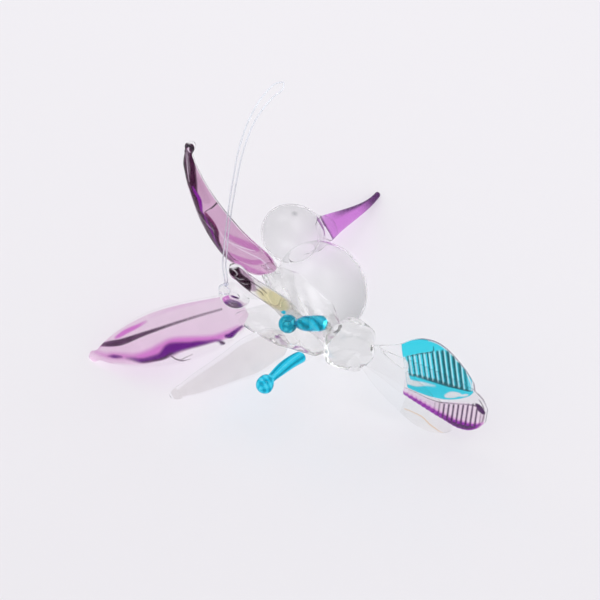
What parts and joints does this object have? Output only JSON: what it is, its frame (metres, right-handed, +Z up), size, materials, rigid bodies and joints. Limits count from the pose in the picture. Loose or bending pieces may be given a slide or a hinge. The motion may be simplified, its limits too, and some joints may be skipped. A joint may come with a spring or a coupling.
{
  "type": "hanging ornament",
  "caption": "Clear and coloured blown glass hummingbird with raised wings, a ribbed fan tail and a nylon loop through a glass eye on its back, lying on its side.",
  "frame": {"origin": "on the table, under the middle of the glass's bounding box", "axes": "the bird lies on its left side: +Z up from the table, +X from its wing tips to its tail, +Y away from the viewer, with its head pointing 28 degrees from +Y towards -X"},
  "size_m": [0.1188, 0.084, 0.0895],
  "materials": {
    "clear_glass": "fire polished clear glass",
    "purple_glass": "fire polished purple glass",
    "straw_glass": "fire polished pale straw glass",
    "cyan_glass": "fire polished cyan glass",
    "nylon_line": "clear nylon monofilament"
  },
  "bodies": {
    "root": {"body_bulb": "clear_glass", "head_bulb": "clear_glass", "rump_knot": "clear_glass", "hang_eye": "clear_glass", "wing_root_left": "clear_glass", "wing_root_right": "clear_glass", "tail_root_left": "clear_glass", "tail_root_middle": "clear_glass", "tail_root_right": "clear_glass", "beak": "purple_glass", "primary_feather_left": "purple_glass", "primary_feather_right": "purple_glass", "tail_feather_middle": "purple_glass", "secondary_feather_left": "straw_glass", "secondary_feather_right": "straw_glass", "tail_feather_left": "straw_glass", "tertiary_feather_left": "cyan_glass", "tertiary_feather_right": "cyan_glass", "tail_feather_right": "cyan_glass", "thread_hitch": "nylon_line", "thread_knot": "nylon_line", "thread_loop": "nylon_line"}
  },
  "joints": []
}
